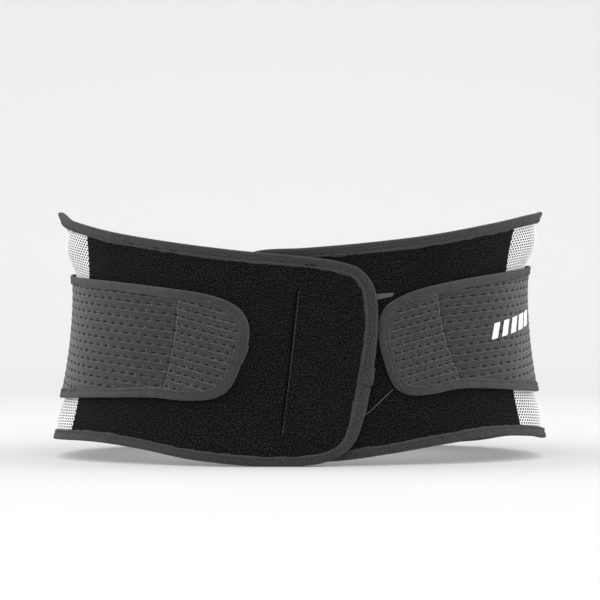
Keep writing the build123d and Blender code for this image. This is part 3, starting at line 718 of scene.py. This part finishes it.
def ribbed_elastic(name):
    """Grey elastic: fine ribs with painted shade along them, rows of slots painted dark as shade in them, and
    a lighter band under each row.
    """
    material, tree, shader, cloth, add = nodes_of(name)
    split = add("SeparateXYZ", {0: add("UVMap", uv_map="weave").outputs[0]}).outputs
    along, rows = split[0], split[1]

    def sum_of(operation, a, b=0.0):
        return add("Math", {0: a, 1: b}, operation=operation).outputs[0]

    def band(value, middle, half, soft):
        off = sum_of("ABSOLUTE", sum_of("SUBTRACT", value, middle))
        mapped = add("MapRange", {"Value": off, "From Min": half + soft, "From Max": half - soft})
        return mapped.outputs[0]

    across = sum_of("FRACT", rows)
    shifted = sum_of("ADD", along, sum_of("MULTIPLY", sum_of("FLOOR", rows), 0.5))
    run = sum_of("FRACT", shifted)
    slot = sum_of("MULTIPLY", band(run, 0.5, SLOT_LONG, 0.04), band(across, 0.5, SLOT_HIGH, 0.03))
    # A lighter band under each row of slots, brightened in the colour and raised in the bump
    lighter_band_under_row = band(across, 0.72, 0.05, 0.04)
    ribs = sum_of("SINE", sum_of("MULTIPLY", rows, 8 * math.pi))
    cords = sum_of("SINE", sum_of("MULTIPLY", along, 20 * math.pi))
    fibre = add("TexNoise", {"Vector": cloth, "Scale": 900.0, "Detail": 3.0, "Roughness": 0.7}).outputs[0]
    worn = add("TexNoise", {"Vector": cloth, "Scale": 35.0, "Detail": 2.0}).outputs[0]
    tone = add("ValToRGB", {"Fac": fibre})
    tone.color_ramp.elements[0].position, tone.color_ramp.elements[1].position = 0.38, 0.68
    tone.color_ramp.elements[0].color, tone.color_ramp.elements[1].color = grey(0.009), grey(0.056)
    # Painted shade on the ribs: each rib's crest is painted lighter and its groove darker, on top of the
    # ribs' bump
    rib_painted_shade = add("MapRange", {"Value": ribs, "From Min": -1.0, "To Min": 0.72, "To Max": 1.18}).outputs[0]
    worn_shade = add("MapRange", {"Value": worn, "From Min": 0.3, "From Max": 0.7,
                                  "To Min": 0.9, "To Max": 1.1}).outputs[0]
    # Painted light and shade: the strap's end is painted lighter (x1.3) and the free run darker (x0.88), set
    # for how the lamps fall on each stretch
    end_painted_light = add("MapRange", {"Value": along, "From Min": 0.1, "From Max": -0.1,
                                 "To Min": 0.88, "To Max": 1.3}).outputs[0]
    shade = sum_of("MULTIPLY", sum_of("MULTIPLY", rib_painted_shade, worn_shade), end_painted_light)
    lit = sum_of("MULTIPLY", shade, sum_of("ADD", sum_of("MULTIPLY", lighter_band_under_row, 1.3), 1.0))
    # Painted shade in the slots: each slot's dip is painted almost black
    dark = sum_of("MULTIPLY", lit, sum_of("SUBTRACT", 1.0, sum_of("MULTIPLY", slot, 0.98)))
    colour = add("Mix", {0: 1.0, 6: tone.outputs[0], 7: dark}, data_type="RGBA", blend_type="MULTIPLY")
    tree.links.new(colour.outputs[2], shader.inputs["Base Color"])
    rise = sum_of("ADD", sum_of("MULTIPLY", ribs, 0.25), sum_of("MULTIPLY", cords, 0.1))
    rise = sum_of("ADD", rise, sum_of("ADD", sum_of("MULTIPLY", lighter_band_under_row, 0.5),
                                      sum_of("MULTIPLY", fibre, 0.9)))
    rise = sum_of("SUBTRACT", rise, sum_of("MULTIPLY", slot, 1.5))
    bump = add("Bump", {"Height": rise, "Strength": 0.8, "Distance": 0.0004})
    tree.links.new(bump.outputs[0], shader.inputs["Normal"])
    shader.inputs["Roughness"].default_value = 0.85
    shader.inputs["Specular IOR Level"].default_value = 0.2
    shader.inputs["Sheen Weight"].default_value = 0.35
    shader.inputs["Sheen Roughness"].default_value = 0.5
    return material


elastic = ribbed_elastic("ribbed_elastic")
strap_tape = brushed_cloth("strap_binding", 0.010, 0.052, 1000.0, 3000.0, 0.0009,
                           sheen=0.25, spread=(0.38, 0.68))
for left in (True, False):
    name, wing, side = ("left", "outer_wing", -1) if left else ("right", "inner_wing", 1)
    line = outline(left, *STRAP_EDGE[left])
    inwards = side * -1.0
    edges = edges_of(moved_in(line, inwards * 0.003))
    cut, bend_from, bend_to = (place(87, front=side * x) for x in (144, 143, 117))
    anchor = place(87, back=side * 70)
    tip = line[np.argmin(np.abs(line[:, 0])), 0] + side * 0.0034
    beyond = np.flatnonzero(np.abs(line[:, 0]) < abs(cut))
    first, last = beyond[0], beyond[-1]
    spans = {"run": sorted((anchor, cut)), "end": sorted((cut, tip))}
    pull = f"{name}_strap"
    for part, (u0, u1) in spans.items():
        web = slab(f"{name}_elastic_{part}", lambda z, u=u0: u + 0 * z, lambda z, u=u1: u + 0 * z, edges,
                   STRAP_IN, STRAP_OUT, elastic, step=0.0009 if part == "run" else 0.0007, lifted=left,
                   relief=slotted(left), fine=strap_seam(left) if part == "end" else None)
        weave_map(web, left)
        lines = {"end": {"tip": line[first - 1:last + 2]},
                 "run": {"top": line[:first], "bottom": line[last + 1:]}}
        things = [web]
        for edge, run in lines[part].items():
            things.append(folded_tape(f"{name}_strap_tape_{edge}", run, STRAP_FOLD, strap_tape, inwards,
                                      lifted=left, seed=11 + left))
            inner = moved_in(run, inwards * 0.0052 * breadth(run))
            things.append(stitches(f"{name}_strap_overlock_{edge}", inner, overlock, 0.0026, -0.0007, 0.0006,
                                   0.0073, lifted=left, slant=1.0))
        if part == "end" and left:
            things.append(tape_join("left_strap_join", line, -34.5, 75, STRAP_FOLD, strap_tape,
                                    inwards, True))
        if part == "run":
            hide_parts(f"{name}_strap_anchor", f"{name}_strap_side")
            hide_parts(f"{name}_anchor_binding", f"{name}_side_binding")
        else:
            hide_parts(f"{name}_strap_web")
            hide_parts(f"{name}_strap_binding")
        for thing in things:
            if part == "run":
                wrap(np.array(float(seam_of(left)(0.09))), 0.09, 0.0)
                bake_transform(thing)
            else:
                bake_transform(thing)

    hook_edges = edges_of(moved_in(line, inwards * 0.0075))
    hook_tip = line[np.argmin(np.abs(line[:, 0])), 0] + side * 0.0078
    near, far = sorted((hook_tip, float(strap_seam(left)(0.085))))
    patch = slab(f"{name}_strap_hook_tape", lambda z, u=near: u + 0 * z,
                 lambda z, u=far: u + 0 * z, hook_edges,
                 0.0039, 0.0048, hook_tape, lifted=left)
    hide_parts(f"{name}_strap_hook")
    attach(patch, pull)
    near, far = sorted((anchor, place(87, back=side * 85)))
    tape = slab(f"{name}_anchor_pad", lambda z, u=near: u + 0 * z, lambda z, u=far: u + 0 * z, hook_edges,
                PANEL, STRAP_IN, napped_tape)
    cover = slab(f"{name}_anchor_cover", lambda z, u=near: u + 0 * z, lambda z, u=far: u + 0 * z, edges,
                 STRAP_OUT, STRAP_OUT + 0.0009, napped_tape)
    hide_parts(f"{name}_anchor_tape")
    for thing in (tape, cover):
        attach(thing, "back")

# ---------------------------------------------------------------------------------------------
# Strap mark: a plain motif of slanted bars, heat-transferred in white film on the right strap.
# ---------------------------------------------------------------------------------------------
white_film, tree, shader, cloth, add = nodes_of("white_film")
crackle = add("TexNoise", {"Vector": cloth, "Scale": 1800.0, "Detail": 3.0})
tone = add("ValToRGB", {"Fac": crackle.outputs[0]})
tone.color_ramp.elements[0].position, tone.color_ramp.elements[1].position = 0.3, 0.5
tone.color_ramp.elements[0].color, tone.color_ramp.elements[1].color = grey(0.55), grey(0.93)
tree.links.new(tone.outputs[0], shader.inputs["Base Color"])
bump = add("Bump", {"Height": crackle.outputs[0], "Strength": 0.4, "Distance": 0.0001})
tree.links.new(bump.outputs[0], shader.inputs["Normal"])
shader.inputs["Roughness"].default_value = 0.45
BAR_HALF_HEIGHT, BAR_LEVEL, BAR_RISE, BAR_LEAN = 0.0057, 0.0905, 0.21, 0.32
BARS = ((131.5, 4.2), (139.2, 4.2), (146.4, 4.0), (152.8, 3.6), (158.0, 3.0))
points, faces, flat = [], [], []
for x, wide in BARS:
    u = np.linspace(place(90, front=x), place(90, front=x + wide), 8)
    v = np.linspace(-BAR_HALF_HEIGHT, BAR_HALF_HEIGHT, 10)
    uu, vv = np.meshgrid(u, v)
    z = BAR_LEVEL + (uu - place(90, front=BARS[0][0])) * BAR_RISE + vv
    uu = uu + vv * BAR_LEAN
    for face, out in enumerate((STRAP_OUT + 0.0004, STRAP_OUT - 0.0004)):
        faces.append(grid_faces(10, 8, len(points) * 80, flip=face == 1))
        points.append(wrap(uu, z, out).reshape(-1, 3))
        flat.append(np.stack([uu.ravel(), z.ravel()], -1))
    rim = np.concatenate([np.arange(8), np.arange(15, 80, 8), np.arange(78, 71, -1), np.arange(64, 0, -8)])
    base = (len(points) - 2) * 80
    faces.append(np.stack([rim, np.roll(rim, -1), np.roll(rim, -1) + 80, rim + 80], -1)[:, ::-1] + base)
mark = piece("strap_bars", np.vstack(points), np.vstack(faces), np.vstack(flat), white_film)
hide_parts("strap_mark")
wrap(np.array(float(seam_of(False)(0.09))), 0.09, 0.0)
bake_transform(mark)

# ---------------------------------------------------------------------------------------------
# Studio: a pale floor that curves up behind into a backdrop, a soft key light and two strips.
# ---------------------------------------------------------------------------------------------
paper, tree, shader, cloth, add = nodes_of("pale_paper")
grain = add("TexNoise", {"Vector": add("TexCoord").outputs["Object"], "Scale": 400.0})
tone = add("ValToRGB", {"Fac": grain.outputs[0]})
tone.color_ramp.elements[0].color, tone.color_ramp.elements[1].color = grey(0.73), grey(0.745)
tree.links.new(tone.outputs[0], shader.inputs["Base Color"])
shader.inputs["Roughness"].default_value = 1.0
shader.inputs["Specular IOR Level"].default_value = 0.0
cove = [(2.0 + math.sin(a), 1 - math.cos(a)) for a in np.radians(range(10, 91, 10))]
bend = [(-4.0, 0.0), (2.0, 0.0)] + cove + [(3.0, 4.0)]
points = [(x, y, z - 0.0002) for y, z in bend for x in (-5.0, 5.0)]
floor = piece("studio_floor", points, grid_faces(len(bend), 2, flip=True),
              [(x, y) for x, y, z in points], paper)

world = bpy.data.worlds.new("studio")
world.use_nodes = True
world.node_tree.nodes["Background"].inputs[0].default_value = (1, 1, 1, 1)
world.node_tree.nodes["Background"].inputs[1].default_value = 1.25
bpy.context.scene.world = world
LIGHTS = (
    ("key", (0.0, -1.9, 1.5), 1.8, 6.0),
    ("left_strip", (-1.4, 0.1, 0.5), 0.9, 4.0),
    ("right_strip", (1.4, 0.1, 0.5), 0.9, 4.0),
)
for name, spot, size, power in LIGHTS:
    light = bpy.data.lights.new(name, "AREA")
    light.size, light.energy = size, power
    lamp = bpy.data.objects.new(name, light)
    lamp.location = spot
    aim = -np.array(spot) + np.array((0, 0, 0.09))
    lamp.rotation_euler = (math.atan2(math.hypot(aim[0], aim[1]), -aim[2]), 0, math.atan2(-aim[0], aim[1]))
    bpy.context.scene.collection.objects.link(lamp)

camera = bpy.data.cameras.new("camera")
camera.lens, camera.sensor_width, camera.clip_start = 100.0, 36.0, 0.05
eye = bpy.data.objects.new("camera", camera)
eye.location = (0.0, -1.25, 0.0776)
eye.rotation_euler = (math.radians(90 + 1.72), 0.0, 0.0)
bpy.context.scene.collection.objects.link(eye)
bpy.context.scene.camera = eye
bpy.context.scene.view_settings.view_transform = "Standard"
